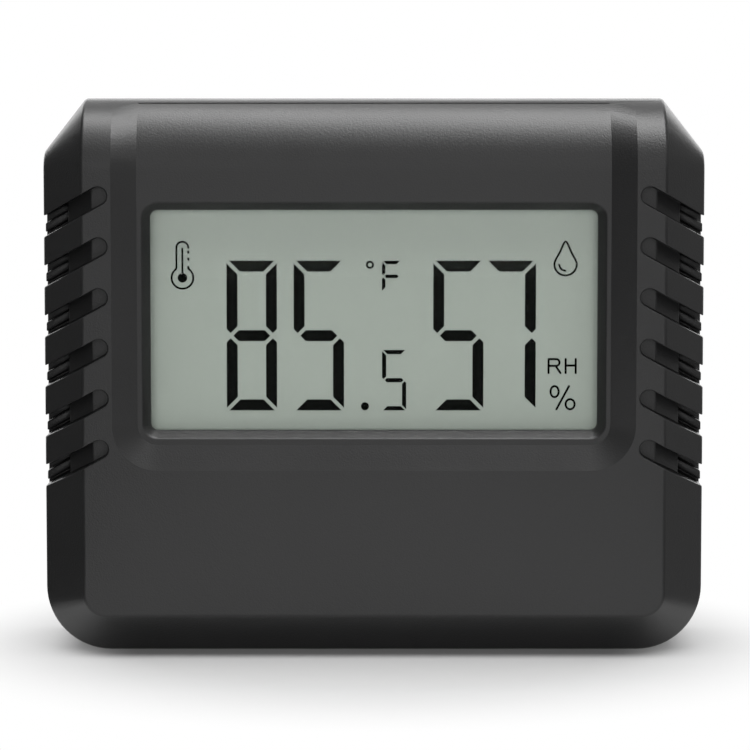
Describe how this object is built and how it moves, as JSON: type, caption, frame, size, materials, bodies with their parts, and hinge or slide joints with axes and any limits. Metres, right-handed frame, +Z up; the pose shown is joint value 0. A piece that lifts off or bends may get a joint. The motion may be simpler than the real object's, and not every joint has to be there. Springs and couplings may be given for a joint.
{
  "type": "desk thermometer and hygrometer",
  "caption": "Small black desk meter with a grey display for temperature and humidity, slanted side vents, a push button and a coin cell door on its back.",
  "frame": {"origin": "under the middle of the housing, on the surface it stands on", "axes": "+Z up, the display faces -Y, +X to the right of someone who reads it"},
  "size_m": [0.05, 0.0144, 0.042],
  "materials": {
    "housing_plastic": "fine moulded grain",
    "black_plastic": "satin",
    "clear_acrylic": "polished",
    "black_tape": "matt film",
    "display_film": "matt polariser",
    "display_glass": "polished",
    "reflector_film": "silver film",
    "white_plastic": "satin",
    "connector_rubber": "matt",
    "board_laminate": "solder mask",
    "black_epoxy": "cast drop",
    "chip_ceramic": "fired",
    "nickel_steel": "nickel plated",
    "screw_steel": "zinc plated"
  },
  "bodies": {
    "case": {"front_housing": "housing_plastic", "rear_housing": "housing_plastic", "window_lens": "clear_acrylic", "lens_tape": "black_tape", "lcd_front_polariser": "display_film", "lcd_front_glass": "display_glass", "lcd_rear_glass": "display_glass", "lcd_reflector": "reflector_film", "lcd_holder": "white_plastic", "zebra_strip": "connector_rubber", "main_board": "board_laminate", "chip_cover": "black_epoxy", "chip_parts": "chip_ceramic", "clock_crystal": "nickel_steel", "humidity_sensor": "chip_ceramic", "humidity_sensor_cap": "white_plastic", "thermistor": "black_epoxy", "switch_body": "black_plastic", "contact_negative": "nickel_steel", "contact_positive": "nickel_steel", "cell_can": "nickel_steel", "cell_seal": "white_plastic", "cell_cap": "nickel_steel", "case_screws": "screw_steel", "board_screws": "screw_steel"},
    "door": {"battery_door": "housing_plastic"},
    "button": {"unit_button": "black_plastic", "switch_plunger": "white_plastic"}
  },
  "joints": [
    {"name": "door_turn", "type": "hinge", "parent": "case", "child": "door", "pos_m": [0, 0.00725, 0.0165], "axis": [0, 1, 0], "range_deg": [0, 45]},
    {"name": "button_push", "type": "slide", "parent": "case", "child": "button", "axis": [0, -1, 0], "range_m": [0, 0.0004], "stiffness_N_per_m": 1500}
  ]
}
